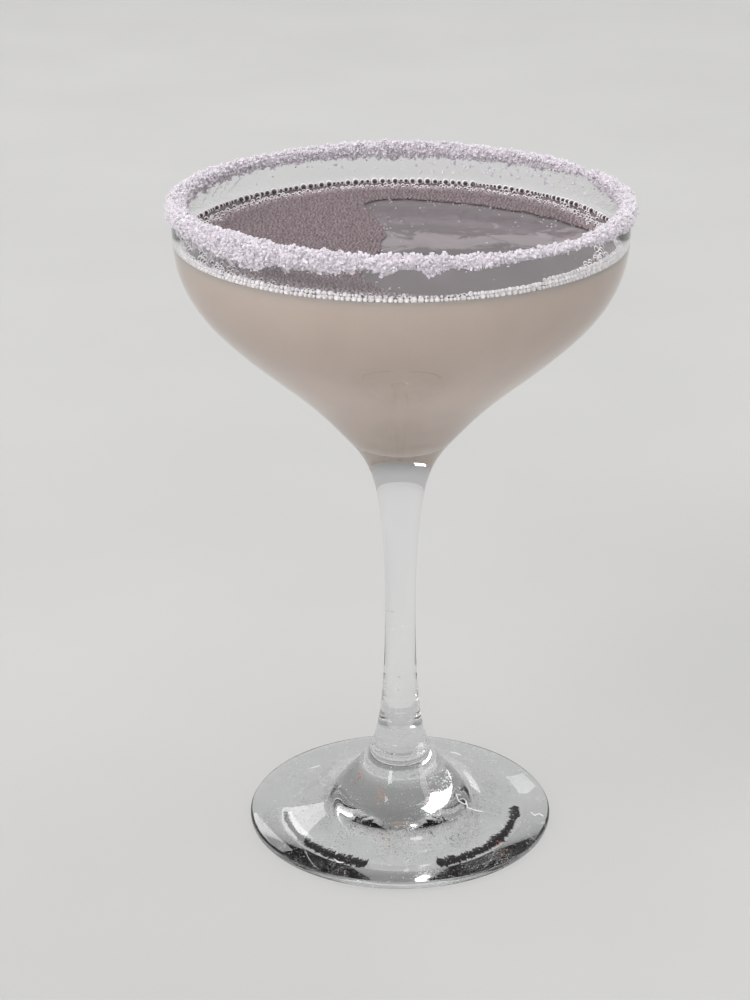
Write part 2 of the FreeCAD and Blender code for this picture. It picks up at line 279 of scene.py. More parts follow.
class Shader:
    """A small helper that adds and links the nodes of one material, or of the world."""

    def __init__(self, name, world=False):
        self.owner = (bpy.data.worlds if world else bpy.data.materials).new(name)
        self.owner.use_nodes = True
        self.tree = self.owner.node_tree
        self.tree.nodes.clear()
        self.output = self.node("ShaderNodeOutputWorld" if world else "ShaderNodeOutputMaterial")
        self.coordinates = "Generated" if world else "Object"

    def node(self, kind, **settings):
        """A new node of this kind."""
        node = self.tree.nodes.new(kind)
        for key, value in settings.items():
            setattr(node, key, value)
        return node

    def link(self, source, target):
        """Link an output to an input."""
        self.tree.links.new(source, target)

    def principled(self, colour, roughness, **sockets):
        """The main surface; a socket's name has _ for each space."""
        node = self.node("ShaderNodeBsdfPrincipled")
        node.inputs["Base Color"].default_value = (*colour, 1)
        node.inputs["Roughness"].default_value = roughness
        for name, value in sockets.items():
            node.inputs[name.replace("_", " ")].default_value = value
        return node

    def place(self):
        """Each point's place on the object, or the direction to it in the world."""
        return self.node("ShaderNodeTexCoord").outputs[self.coordinates]

    def parts(self):
        """The place's X, Y and Z."""
        node = self.node("ShaderNodeSeparateXYZ")
        self.link(self.place(), node.inputs[0])
        return node.outputs

    def noise(self, scale, detail=3.0, roughness=0.55, distortion=0.0):
        """A noise value over the object; scale counts features in a metre."""
        texture = self.node("ShaderNodeTexNoise")
        texture.inputs["Scale"].default_value = scale
        texture.inputs["Detail"].default_value = detail
        texture.inputs["Roughness"].default_value = roughness
        texture.inputs["Distortion"].default_value = distortion
        self.link(self.place(), texture.inputs["Vector"])
        return texture.outputs["Fac"]

    def ramp(self, value, *stops):
        """A colour ramp from stops, each a position with a grey or a colour."""
        ramp = self.node("ShaderNodeValToRGB")
        elements = ramp.color_ramp.elements
        while len(elements) < len(stops):
            elements.new(1.0)
        for element, (position, colour) in zip(elements, stops):
            element.position = position
            element.color = (*colour, 1) if isinstance(colour, tuple) else (colour,) * 3 + (1,)
        self.link(value, ramp.inputs["Fac"])
        return ramp.outputs["Color"]

    def mottle(self, body, scale, detail, *stops, socket="Base Color"):
        """Vary one of the surface's sockets by a noise through a ramp."""
        self.link(self.ramp(self.noise(scale, detail), *stops), body.inputs[socket])

    def math(self, operation, *values):
        """A sum on numbers or outputs."""
        node = self.node("ShaderNodeMath", operation=operation)
        for socket, value in zip(node.inputs, values):
            if isinstance(value, (int, float)):
                socket.default_value = value
            else:
                self.link(value, socket)
        return node.outputs[0]

    def radius(self, parts):
        """Distance from the glass's axis."""
        square = [self.math("POWER", self.math("ABSOLUTE", parts[axis]), 2.0) for axis in "XY"]
        return self.math("SQRT", self.math("ADD", *square))

    def blend(self, share, first, second):
        """First colour where share is 0, second where it is 1."""
        node = self.node("ShaderNodeMix", data_type="RGBA")
        self.link(share, node.inputs["Factor"])
        self.link(first, node.inputs["A"])
        self.link(second, node.inputs["B"])
        return node.outputs["Result"]

    def mix(self, share, first, second):
        """First surface where share is 0, second where it is 1."""
        node = self.node("ShaderNodeMixShader")
        self.link(share, node.inputs["Fac"])
        self.link(first, node.inputs[1])
        self.link(second, node.inputs[2])
        return node.outputs[0]

    def clear(self, colour):
        """A surface that light goes straight through, tinted by the colour."""
        node = self.node("ShaderNodeBsdfTransparent")
        node.inputs["Color"].default_value = (*colour, 1)
        return node.outputs[0]

    def let_through(self, look, tint, *rays):
        """The look, but clear to these kinds of ray, so that lamp light reaches what is behind."""
        passing = self.clear(tint)
        path = self.node("ShaderNodeLightPath")
        for ray in rays:
            look = self.mix(path.outputs[ray], look, passing)
        return look

    def finish(self, look):
        """The finished material or world."""
        self.link(look, self.output.inputs["Surface"])
        return self.owner


def mottled_material(name, colour, roughness, scale, detail, *stops, **sockets):
    """A surface whose colour varies by a noise through a ramp."""
    shader = Shader(name)
    body = shader.principled(colour, roughness, **sockets)
    shader.mottle(body, scale, detail, *stops)
    return shader.finish(body.outputs[0])


def plain_material(name, colour, roughness):
    """One colour, a little uneven."""
    tint = tuple(min(1.0, c * 1.12) for c in colour)
    return mottled_material(name, colour, roughness, 300, 2, (0.3, colour), (0.7, tint))


def glass_material():
    """Clear glass that lets lamp light through, with a dusting of fine specks on the foot."""
    shader = Shader("clear_glass")
    body = shader.principled((0.97, 0.98, 0.985), 0.0, IOR=1.5, Transmission_Weight=1.0)
    on_foot = shader.math("LESS_THAN", shader.parts()["Z"], DUSTY_BELOW)
    blotches = shader.ramp(shader.noise(140, 4), (0.46, 0.0), (0.62, 1.0))
    specks = shader.ramp(shader.noise(2600, 2), (0.52, 0.0), (0.6, 1.0))
    dusty = shader.math("MULTIPLY", shader.math("MULTIPLY", on_foot, blotches), specks)
    shader.link(shader.math("MULTIPLY", dusty, 0.35), body.inputs["Roughness"])
    look = shader.let_through(body.outputs[0], (0.93, 0.94, 0.94), "Is Diffuse Ray", "Is Shadow Ray")
    return shader.finish(look)


def drink_material():
    """Cloudy citrus drink: milky at the side, painted paler half way up as painted light against the shade
    there, and painted dark grey on top as a painted dark reflection, with torn milky films.
    """
    shader = Shader("cloudy_drink")
    body = shader.principled((0.50, 0.385, 0.35), 0.06, IOR=1.34, Subsurface_Weight=1.0,
                             Subsurface_Scale=9 * MM)
    body.inputs["Subsurface Radius"].default_value = (1.0, 0.9, 0.85)
    parts = shader.parts()
    swirl = shader.noise(45, 3, distortion=1.0)
    upper = shader.ramp(swirl, (0.3, (0.485, 0.398, 0.348)), (0.7, (0.52, 0.428, 0.376)))
    # Painted light: a paler colour for the middle of the side, where the bowl is shaded.
    painted_light_middle = shader.ramp(swirl, (0.3, (0.565, 0.452, 0.392)), (0.7, (0.60, 0.482, 0.42)))
    # Painted dark reflection: the top's greys, the films' included, are darker than the side; the films
    # being paler than the bare top is their own.
    surface = shader.ramp(swirl, (0.3, (0.146, 0.126, 0.133)), (0.7, (0.180, 0.154, 0.162)))
    film = shader.ramp(swirl, (0.3, (0.25, 0.219, 0.228)), (0.7, (0.32, 0.282, 0.29)))

    filled = shader.math("DIVIDE", shader.math("SUBTRACT", parts["Z"], FLOOR), LEVEL - FLOOR)
    # The painted light lies on a band half way up the side.
    painted_light_band = shader.ramp(filled, (0.15, 0.0), (0.42, 1.0), (0.78, 0.0))
    side = shader.blend(painted_light_band, upper, painted_light_middle)

    away = shader.math("ABSOLUTE", shader.math("ADD", parts["Y"], FILM_FROM_MIDDLE))
    closeness = shader.math("SUBTRACT", 1.0, shader.math("DIVIDE", away, FILM_HALF_WIDTH))
    cover = shader.math("MULTIPLY_ADD", closeness, 0.20, shader.noise(110, 7, 0.7, 0.6))
    torn = shader.ramp(cover, (0.54, 0.0), (0.63, 1.0))
    top = shader.blend(torn, surface, film)

    on_top = shader.math("GREATER_THAN", parts["Z"], LEVEL - 0.02 * MM)
    off_wall = shader.math("LESS_THAN", shader.radius(parts), inner_radius(LEVEL) - 0.9 * MM)
    colour = shader.blend(shader.math("MULTIPLY", on_top, off_wall), side, top)
    shader.link(colour, body.inputs["Base Color"])
    return shader.finish(body.outputs[0])


def froth_bed_shade_material():
    """The gaps between the bubbles, painted dark as painted shade."""
    darker, paler = (0.115, 0.092, 0.097), (0.185, 0.148, 0.156)
    return mottled_material("froth_bed_painted_shade", (0.2, 0.17, 0.17), 0.15, 900, 2,
                            (0.35, darker), (0.65, paler), IOR=1.34)


def froth_material():
    """Fine wet bubbles: caps with a glossy skin, palest where they crowd up to the wall."""
    shader = Shader("froth_bubbles")
    body = shader.principled((0.35, 0.3, 0.31), 0.05, IOR=1.5)
    mottle = shader.noise(1300, 1)
    middle = shader.ramp(mottle, (0.3, (0.155, 0.122, 0.13)), (0.7, (0.31, 0.245, 0.262)))
    pale = shader.ramp(mottle, (0.3, (0.28, 0.235, 0.248)), (0.7, (0.60, 0.51, 0.535)))
    beyond = shader.math("SUBTRACT", shader.radius(shader.parts()), inner_radius(LEVEL) - PALE_FROTH)
    at_wall = shader.ramp(shader.math("DIVIDE", beyond, PALE_FROTH), (0.05, 0.0), (0.6, 1.0))
    shader.link(shader.blend(at_wall, middle, pale), body.inputs["Base Color"])
    return shader.finish(body.outputs[0])


def film_material(name, rim_reflection_colour, middle_shade_tint):
    """A bubble's thin skin: clear in the middle, tinted dark there as painted shade, and painted pale
    where it is seen edge on, a painted reflection.
    """
    shader = Shader(name)
    skin = shader.principled(rim_reflection_colour, 0.05, IOR=1.45)
    facing = shader.node("ShaderNodeLayerWeight")
    facing.inputs["Blend"].default_value = 0.5
    # Painted reflection: the pale skin shows at the rim; the tint seen through the middle is painted
    # shade.
    edge = shader.ramp(facing.outputs["Facing"], (0.10, 0.04), (0.32, 0.95))
    return shader.finish(shader.mix(edge, shader.clear(middle_shade_tint), skin.outputs[0]))


def bead_side_material():
    """The flattened side of a wall bubble, where milky froth is pressed against the glass."""
    darker, paler = (0.72, 0.65, 0.67), (1.0, 0.95, 0.965)
    return mottled_material("bead_side", (0.75, 0.69, 0.71), 0.1, 1100, 1,
                            (0.35, darker), (0.65, paler), IOR=1.4)


def clear_drop_material():
    """Clear water, with a trace of cloud."""
    shader = Shader("clear_drop")
    body = shader.principled((0.98, 0.98, 0.98), 0.0, IOR=1.33, Transmission_Weight=1.0)
    shader.mottle(body, 900, 1, (0.3, (0.9, 0.9, 0.92)), (0.7, (1.0, 1.0, 1.0)))
    return shader.finish(shader.let_through(body.outputs[0], (1, 1, 1), "Is Shadow Ray"))


def salt_material():
    """White crystals with a cool pink cast, each a little different."""
    shader = Shader("salt")
    body = shader.principled((0.75, 0.71, 0.77), 0.3, IOR=1.54, Subsurface_Weight=0.6,
                             Subsurface_Scale=1.0 * MM)
    body.inputs["Subsurface Radius"].default_value = (1.0, 1.0, 1.0)
    shader.mottle(body, 1500, 1, (0.3, (0.60, 0.553, 0.61)), (0.7, (0.86, 0.80, 0.87)))
    shader.mottle(body, 2300, 0, (0.4, 0.08), (0.6, 0.55), socket="Roughness")
    return shader.finish(body.outputs[0])


# ---- the glass and the drink

SEGMENTS = 180
DUSTY_BELOW = 12 * MM
INTO_WALL = 0.12 * MM  # how far the drink's side reaches into the glass
MENISCUS_RISE = 0.5 * MM
MENISCUS_REACH = 1.0 * MM
MENISCUS_PART = 6 * MM  # width of the surface's finely divided part
FILM_FROM_MIDDLE = 3 * MM  # the torn film lies this far in front of the axis
FILM_HALF_WIDTH = 11 * MM
PALE_FROTH = 10 * MM  # width of the paler froth along the wall


def make_glass():
    """The clear glass, turned in one piece."""
    piece = lathe("clear_glass", glass_outline(), SEGMENTS, glass_material())
    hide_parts("glass")


def surface_height(radius):
    """Height of the liquid's surface, which climbs a little where it meets the glass."""
    return LEVEL + MENISCUS_RISE * math.exp(-(inner_radius(LEVEL) - radius) / MENISCUS_REACH)


def make_drink():
    """The drink, whose side reaches just into the wall."""
    wall = INNER[::-1].copy()
    slope = np.gradient(wall, axis=0)
    slope /= np.linalg.norm(slope, axis=1)[:, None]
    outward = np.stack([slope[:, 1], -slope[:, 0]], 1)
    side = wall + outward * INTO_WALL
    side[0] = (0, FLOOR - INTO_WALL)
    side = side[side[:, 1] < LEVEL + MENISCUS_RISE]
    edge = inner_radius(LEVEL)
    steps = np.linspace(0, MENISCUS_PART, 26)
    near_wall = [(edge - step, surface_height(edge - step)) for step in steps]
    top = (inner_radius(LEVEL + MENISCUS_RISE) + INTO_WALL, LEVEL + MENISCUS_RISE)
    middle = [(radius, LEVEL) for radius in np.linspace(edge - MENISCUS_PART - MM, 0, 14)]
    outline = np.concatenate([side, [top], near_wall, middle])
    piece = lathe("cloudy_drink", outline, SEGMENTS, drink_material())
    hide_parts("drink")


# ---- the froth

# The clear patch's outline: its part along the wall, as bearings in degrees with the froth's
# width there in mm, and its part across the drink, as (x, y) in mm.
PATCH_WALL = (
    (106, 15.0), (75, 16.0), (40, 15.0), (12, 6.0),
    (-12, 3.5), (-38, 3.0), (-64, 2.5), (-90, 2.5),
)
PATCH_FREE = ((-11.0, -36.0), (-7.0, -20.0), (-4.5, -6.0), (-3.0, 6.0), (-9.0, 22.0))
PATCH_MIDDLE = (14 * MM, 0.0)

# Rows of bubbles on the wall: height over the level in mm, range of radii in mm, range of
# bearings in degrees, and how far apart they sit.
BEAD_ROWS = (
    (0.7, (0.38, 0.85), (-180, 20), 1.0),
    (0.75, (0.4, 0.95), (20, 68), 1.0),
    (0.8, (0.45, 1.15), (68, 142), 1.0),
    (0.75, (0.4, 0.9), (142, 180), 1.0),
    (1.75, (0.22, 0.6), (-178, -100), 1.25),
    (1.6, (0.18, 0.34), (-100, -74), 2.2),
    (1.7, (0.36, 0.62), (-74, 12), 1.0),
    (2.55, (0.25, 0.5), (-54, -4), 1.2),
    (-0.1, (0.22, 0.4), (-180, 20), 1.3),
)
FLAT_SIDE = 0.15  # how squarely a bubble's face must look at the wall

# The froth's bubbles shrink with the distance from the wall.
FROTH_DEPTHS = (0.0, 2.5 * MM, 5 * MM, 10 * MM)
FROTH_RADII = (0.70 * MM, 0.60 * MM, 0.46 * MM, 0.39 * MM)
FROTH_TRIES = 220000
FROTH_SEED = 3
LARGE_BUBBLE = 0.5 * MM
BUBBLE_SPACING = 0.88  # neighbours' distance over the sum of their radii
PIN_TRIES = 6000
PIN_SEED = 11
PIN_RADII = (0.10, 0.26)  # mm


def patch_outline():
    """The ragged edge of the clear patch in the froth."""
    poles = []
    for bearing, ring in PATCH_WALL:
        reach = INNER_RADIUS - ring * MM
        turn = math.radians(bearing)
        poles.append((reach * math.cos(turn), reach * math.sin(turn)))
    poles += [(x * MM, y * MM) for x, y in PATCH_FREE]
    outline = closed_spline(poles, 60)
    ragged = []
    for x, y in outline:
        push = noise.noise_vector(Vector((x, y, 0)) * 260) * 0.9 * MM
        fine = noise.noise_vector(Vector((x, y, 0.3)) * 1100) * 0.35 * MM
        ragged.append((x + push.x + fine.x, y + push.y + fine.y))
    return np.array(ragged)


PATCH = patch_outline()


def in_patch(points):
    """True for each (x, y) that lies in the clear patch."""
    x, y = points[:, 0], points[:, 1]
    inside = np.zeros(len(points), bool)
    for (x1, y1), (x2, y2) in zip(PATCH, np.roll(PATCH, -1, axis=0)):
        crosses = (y1 > y) != (y2 > y)
        with np.errstate(divide="ignore", invalid="ignore"):
            at = (x2 - x1) * (y - y1) / (y2 - y1) + x1
        inside ^= crosses & (x < at)
    return inside


def patch_distance(points):
    """Distance from each (x, y) to the clear patch's edge."""
    best = np.full(len(points), np.inf)
    for corner in PATCH[::3]:
        best = np.minimum(best, np.hypot(*(points - corner).T))
    return best


def make_froth_bed():
    """The wet layer under the bubbles, painted dark as the shade between them, from the clear patch's edge
    out to the wall.
    """
    centre = np.array(PATCH_MIDDLE)
    steps = 26
    edge = inner_radius(LEVEL)
    points, faces = [], []
    for corner in PATCH:
        away = corner - centre
        away /= np.hypot(*away)
        along = centre @ away
        reach = -along + math.sqrt(along ** 2 - centre @ centre + edge ** 2)
        start = np.hypot(*(corner - centre))
        for share in np.linspace(0, 1, steps) ** 1.4:
            x, y = centre + away * (start + (reach - start) * share)
            swell = 0.32 * MM * (1 - math.exp(-(reach - start) * share / (0.6 * MM)))
            lump = 0.06 * MM * noise.noise(Vector((x, y, 0)) * 900)
            height = surface_height(math.hypot(x, y)) + swell + lump * min(1, share * 9) - 0.02 * MM
            points.append((x, y, height))
    count = len(PATCH)
    for i in range(count):
        for j in range(steps - 1):
            a, b = i * steps + j, (i + 1) % count * steps + j
            faces.append((a, b, b + 1, a + 1))
    piece = mesh_piece("froth_bed_painted_shade", points, faces, froth_bed_shade_material())
    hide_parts("foam")


def scatter_bubbles(candidates, radius_at, spacing):
    """Keep the candidates that leave room for one another; returns (x, y, radius) of each."""
    cell = 2.2 * MM  # no two bubbles that touch are further apart
    grid, kept = {}, []
    for (x, y), radius in zip(candidates, radius_at):
        key = (int(x // cell), int(y // cell))
        near = []
        for i, j in product((-1, 0, 1), repeat=2):
            near += grid.get((key[0] + i, key[1] + j), ())
        if all((x - u) ** 2 + (y - v) ** 2 > (spacing * (radius + r)) ** 2 for u, v, r in near):
            grid.setdefault(key, []).append((x, y, radius))
            kept.append((x, y, radius))
    return kept


def bubble_template(sides, rings, lowest):
    """Points and faces of a unit bubble's cap, from the given lowest latitude to its top."""
    points = []
    for latitude in np.linspace(lowest, 90, rings + 1)[:-1]:
        c, s = math.cos(math.radians(latitude)), math.sin(math.radians(latitude))
        points += [(c * math.cos(2 * math.pi * k / sides), c * math.sin(2 * math.pi * k / sides), s)
                   for k in range(sides)]
    points.append((0, 0, 1))
    faces = []
    for ring in range(rings - 1):
        for k in range(sides):
            k2 = (k + 1) % sides
            a, b = ring * sides, (ring + 1) * sides
            faces.append((a + k, a + k2, b + k2, b + k))
    top = rings * sides
    for k in range(sides):
        faces.append((top - sides + k, top - sides + (k + 1) % sides, top))
    return np.array(points), faces


def make_bubbles(name, bubbles, template, squash, material):
    """One mesh of many bubbles, each given by x, y, radius and the height of its middle."""
    shape, shape_faces = template
    points, faces = [], []
    for x, y, radius, middle in bubbles:
        turn = RANDOM.uniform(0, 2 * math.pi)
        c, s = math.cos(turn), math.sin(turn)
        first = len(points)
        for px, py, pz in shape:
            points.append((x + radius * (c * px - s * py), y + radius * (s * px + c * py),
                           middle + radius * squash * pz))
        faces += [tuple(first + i for i in face) for face in shape_faces]
    piece = mesh_piece(name, points, faces, material)
    return piece


def wall_beads(height, sizes, bearings, gap):
    """One row of bubbles pressed against the wall, as (x, y, radius, height of its middle)."""
    row, bearing = [], math.radians(bearings[0])
    while bearing < math.radians(bearings[1]):
        radius = RANDOM.uniform(*sizes) * MM
        away = inner_radius(height) - radius * 0.96
        middle = bearing + radius / away
        row.append((away * math.cos(middle), away * math.sin(middle), radius, height))
        bearing += 1.96 * gap * radius / away
    return row


def make_wall_beads():
    """The bubbles round the wall: one row of big ones, and smaller rows over and under it."""
    rows = []
    for rise, sizes, bearings, gap in BEAD_ROWS:
        rows += wall_beads(LEVEL + rise * MM, sizes, bearings, gap)
    # Painted reflection at the rims, painted shade through the middles.
    film = film_material("bubble_film", (0.95, 0.9, 0.92), (0.5, 0.46, 0.46))
    piece = make_bubbles("froth_wall", rows, bubble_template(14, 7, -80), 1.0, film)
    piece.data.materials.append(bead_side_material())
    for face in piece.data.polygons:
        outward = Vector((face.center.x, face.center.y, 0)).normalized()
        if face.normal.dot(outward) > FLAT_SIDE:
            face.material_index = 1
    return [(x, y, radius) for x, y, radius, height in rows if height < LEVEL + MM]


def make_froth():
    """Large bubbles along the wall, smaller ones inwards, and fine froth beyond."""
    make_froth_bed()
    edge = inner_radius(LEVEL)
    first_row = make_wall_beads()

    rng = np.random.default_rng(FROTH_SEED)
    spots = rng.uniform(-edge, edge, (FROTH_TRIES, 2))
    depth = edge - np.hypot(*spots.T)
    spots, depth = spots[depth > 0.6 * MM], depth[depth > 0.6 * MM]
    keep = ~in_patch(spots)
    spots, depth = spots[keep], depth[keep]
    size = np.interp(depth, FROTH_DEPTHS, FROTH_RADII)
    size *= rng.uniform(0.78, 1.15, len(spots))
    order = np.argsort(-size + rng.uniform(0, 0.2 * MM, len(size)))
    all_spots = [(x, y) for x, y, _ in first_row] + [tuple(spots[i]) for i in order]
    all_sizes = [radius for _, _, radius in first_row] + [size[i] for i in order]
    kept = scatter_bubbles(all_spots, all_sizes, BUBBLE_SPACING)[len(first_row):]
    large, fine = [], []
    for x, y, radius in kept:
        surface = surface_height(math.hypot(x, y))
        if radius > LARGE_BUBBLE:
            large.append((x, y, radius, surface + 0.35 * radius))
        else:
            fine.append((x, y, radius, surface + 0.30 * MM))
    # Painted reflection at the rims, painted shade through the middles.
    film = film_material("small_bubble_film", (0.9, 0.85, 0.87), (0.42, 0.39, 0.39))
    make_bubbles("froth_large", large, bubble_template(12, 4, -20), 0.95, film)
    make_bubbles("froth_fine", fine, bubble_template(7, 2, -10), 1.0, froth_material())


def make_pin_bubbles():
    """Tiny clear bubbles on the open patch, most of them near its back edge."""
    rng = np.random.default_rng(PIN_SEED)
    spots = rng.uniform(-0.05, 0.05, (PIN_TRIES, 2))
    spots = spots[in_patch(spots)]
    reach = patch_distance(spots)
    at_back = np.exp(-reach / (5 * MM))
    elsewhere = 0.25 * np.exp(-reach / (2.5 * MM))
    chance = np.where(spots[:, 1] > 8 * MM, at_back, elsewhere) + 0.02
    spots = spots[rng.uniform(0, 1, len(spots)) < chance * 0.3]
    pins = [(x, y, RANDOM.uniform(*PIN_RADII) * MM, LEVEL) for x, y in spots]
    # Painted reflection at the rims, painted shade through the middles.
    film = film_material("pin_film", (0.9, 0.86, 0.88), (0.7, 0.66, 0.67))
    make_bubbles("pin_bubbles", pins, bubble_template(8, 3, 0), 1.0, film)


# ---- the salt

# The crust round the rim, in mm at bearings in degrees: how far it hangs down outside and
# inside, how high it stands above the lip, and how thick it is outside and inside.
SALT_ROUND = (
    (-180, 1.8, 2.6, 1.4, 0.7, 1.9),
    (-163, 1.3, 3.0, 1.6, 0.8, 2.2),
    (-148, 1.3, 3.2, 2.3, 1.0, 2.8),
    (-136, 2.4, 3.2, 3.2, 1.3, 3.4),
    (-127, 3.4, 2.8, 2.9, 1.5, 2.8),
    (-119, 1.4, 2.4, 2.2, 1.0, 1.9),
    (-110, 1.6, 2.0, 2.3, 1.0, 1.6),
    (-104, 1.9, 1.8, 2.3, 1.0, 1.4),
    (-98, 0.3, 0.5, 1.8, 0.4, 0.9),
    (-94, 1.9, 1.2, 2.3, 0.8, 1.0),
    (-90, 0.15, 0.4, 2.2, 0.3, 0.9),
    (-86, 0.2, 0.4, 2.4, 0.4, 0.9),
    (-83, 2.2, 1.2, 2.3, 0.8, 0.9),
    (-78, 0.15, 0.4, 1.6, 0.3, 0.8),
    (-72, 1.0, 0.6, 1.4, 0.6, 0.7),
    (-62, 0.2, 0.5, 0.9, 0.4, 0.5),
    (-50, 0.5, 0.6, 0.7, 0.4, 0.5),
    (-42, 0.3, 0.5, 0.4, 0.3, 0.4),
    (-36, 0.8, 1.2, 1.1, 0.6, 0.8),
    (-18, 1.8, 2.0, 1.3, 0.8, 1.1),
    (0, 1.9, 2.2, 1.3, 0.8, 1.1),
    (18, 1.6, 1.9, 1.1, 0.7, 0.9),
    (27, 1.2, 1.4, 0.9, 0.6, 0.7),
    (31, 0.1, 0.1, 0.05, 0.1, 0.1),
    (35, 1.1, 1.2, 0.7, 0.5, 0.6),
    (48, 1.4, 1.5, 1.0, 0.6, 0.7),
    (70, 1.4, 1.7, 1.3, 0.7, 0.8),
    (95, 1.6, 2.0, 1.8, 0.8, 1.0),
    (112, 1.3, 1.5, 1.3, 0.7, 0.8),
    (135, 1.3, 1.5, 1.0, 0.7, 0.8),
    (158, 1.6, 2.2, 1.2, 0.7, 1.4),
    (180, 1.8, 2.6, 1.4, 0.7, 1.9),
)
# The crust's outer side: shares of its thickness and of how far it hangs down.
CRUST_BULGE = ((0.5, 0.85), (0.9, 0.5), (1.0, 0.1))
LIP_FACE = 1.7 * MM  # length of the bare lip's own face
FULL_FACE = 11 * MM  # a crust's face this much longer has the most grains
SALT_SEGMENTS = 900

# Grains over the crust: how many, how far they stand out of its face, and their sizes.
CRUST_GRAINS = (
    ("salt_coarse", 6500, (-0.15 * MM, 0.35 * MM), (0.8 * MM, 1.7 * MM)),
    ("salt_fine", 6500, (0.0, 0.45 * MM), (0.35 * MM, 0.8 * MM)),
)
FALLEN_GRAINS = 1100
LOOSE_GRAINS = 85
STROKE_GRAINS = 130

# The smear's strokes, each from a bearing in degrees and a height in mm to another.
STROKES = (
    (152, 162.4, 146, 166.0),
    (148, 162.0, 143, 165.6),
    (144, 162.2, 139, 165.0),
    (157, 162.0, 151, 165.6),
)
RAGGED_WAVES = ((23, 1.1), (41, 2.9), (67, 0.7), (89, 4.4), (131, 2.0), (173, 5.3))


def ragged(bearing, shift):
    """A jagged number about 1, that sets one edge of the crust at a bearing."""
    waves = [abs(math.sin(0.5 * count * bearing + phase * shift)) for count, phase in RAGGED_WAVES]
    return 0.55 + 0.7 * sum(waves) / len(waves) + 0.5 * (waves[3] * waves[1]) ** 3


def salt_section(bearing):
    """The crust's outer face at a bearing, from its lower end outside to its lower end inside."""
    degrees = math.degrees(math.remainder(bearing, 2 * math.pi))
    table = list(zip(*SALT_ROUND))
    sizes = [np.interp(degrees, table[0], row) * MM for row in table[1:]]
    down_out, down_in, above, thick_out, thick_in = sizes
    down_out *= ragged(bearing, 1.0)
    down_in *= ragged(bearing, 2.0)
    above *= 0.35 + 0.4 * ragged(bearing, 3.0)
    thick_out *= 0.75 + 0.2 * ragged(bearing, 4.0)
    thick_in *= 0.75 + 0.2 * ragged(bearing, 5.0)
    return [
        (RIM_RADIUS - 0.1 * MM, RIM - down_out),
        *((RIM_RADIUS + out * thick_out, RIM - down * down_out) for out, down in CRUST_BULGE),
        (RIM_RADIUS + 0.6 * thick_out, RIM + 0.6 * above),
        (RIM_RADIUS - 0.35 * WALL, RIM + above),
        (INNER_RADIUS + 0.1 * WALL, RIM + above),
        (INNER_RADIUS - 0.6 * thick_in, RIM + 0.65 * above),
        (INNER_RADIUS - thick_in, RIM - 0.1 * down_in),
        (INNER_RADIUS - 0.85 * thick_in, RIM - 0.5 * down_in),
        (INNER_RADIUS - 0.5 * thick_in, RIM - 0.85 * down_in),
        (INNER_RADIUS + 0.1 * MM, RIM - down_in),
    ]


def make_salt_core(material):
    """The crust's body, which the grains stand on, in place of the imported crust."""
    in_glass = [(INNER_RADIUS + 0.2 * MM, RIM - 1.0 * MM), (RIM_RADIUS - 0.2 * MM, RIM - 1.0 * MM)]
    points, faces = [], []
    for step in range(SALT_SEGMENTS):
        bearing = 2 * math.pi * step / SALT_SEGMENTS
        section = salt_section(bearing)
        for index, (radius, height) in enumerate(section + in_glass):
            spot = around(radius, bearing, height)
            if 0 < index < len(section) - 1:
                spot += noise.noise_vector(spot * 900) * 0.22 * MM
            points.append(spot)
    corners = len(points) // SALT_SEGMENTS
    for step in range(SALT_SEGMENTS):
        here, there = step * corners, (step + 1) % SALT_SEGMENTS * corners
        for corner in range(corners):
            after = (corner + 1) % corners
            faces.append((here + corner, there + corner, there + after, here + after))
    piece = mesh_piece("salt_core", points, faces, material)
    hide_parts("salt_rim")


CRYSTAL_FACES = ((0, 1, 3, 2), (4, 6, 7, 5), (0, 4, 5, 1), (2, 3, 7, 6), (0, 2, 6, 4), (1, 5, 7, 3))


def add_crystal(points, faces, place, outward, size):
    """One rough crystal: a chipped splinter that stands more or less straight out of the crust."""
    lean = Vector([RANDOM.gauss(0, 0.55) for _ in range(3)])
    roll = Matrix.Rotation(RANDOM.uniform(0, 6.28), 3, "X")
    turn = (outward + lean).to_track_quat("X", "Z").to_matrix() @ roll
    sides = Vector((1.0, RANDOM.uniform(0.4, 0.8), RANDOM.uniform(0.35, 0.7))) * size / 2
    first = len(points)
    for i in range(8):
        tip = RANDOM.uniform(0.45, 0.9) if i & 4 else 1.0
        corner = Vector((sides.x * (1 if i & 4 else -1) * RANDOM.uniform(0.7, 1.1),
                         sides.y * (1 if i & 2 else -1) * RANDOM.uniform(0.6, 1.1) * tip,
                         sides.z * (1 if i & 1 else -1) * RANDOM.uniform(0.6, 1.1) * tip))
        points.append(place + turn @ corner)
    faces += [tuple(first + i for i in face) for face in CRYSTAL_FACES]


def grain_piece(name, places, size_range, material):
    """One piece of many crystals, from (place, outward direction) pairs."""
    points, faces = [], []
    for place, outward in places:
        add_crystal(points, faces, place, outward, RANDOM.uniform(*size_range))
    piece = mesh_piece(name, points, faces, material, smooth=False)


def crust_places(count, lift):
    """Random places over the crust's face, each with the direction out of it."""
    places = []
    while len(places) < count:
        bearing = RANDOM.uniform(0, 2 * math.pi)
        section = salt_section(bearing)
        lengths = [math.dist(a, b) for a, b in zip(section, section[1:])]
        if RANDOM.random() > (sum(lengths) - LIP_FACE) / FULL_FACE:
            continue
        index = RANDOM.choices(range(len(lengths)), lengths)[0]
        share = RANDOM.random()
        (r1, z1), (r2, z2) = section[index], section[index + 1]
        outward = Vector((z2 - z1, 0, r1 - r2)).normalized()
        rise = RANDOM.uniform(*lift)
        radius = r1 + (r2 - r1) * share + outward.x * rise
        height = z1 + (z2 - z1) * share + outward.z * rise
        places.append((around(radius, bearing, height), around(outward.x, bearing, outward.z)))
    return places


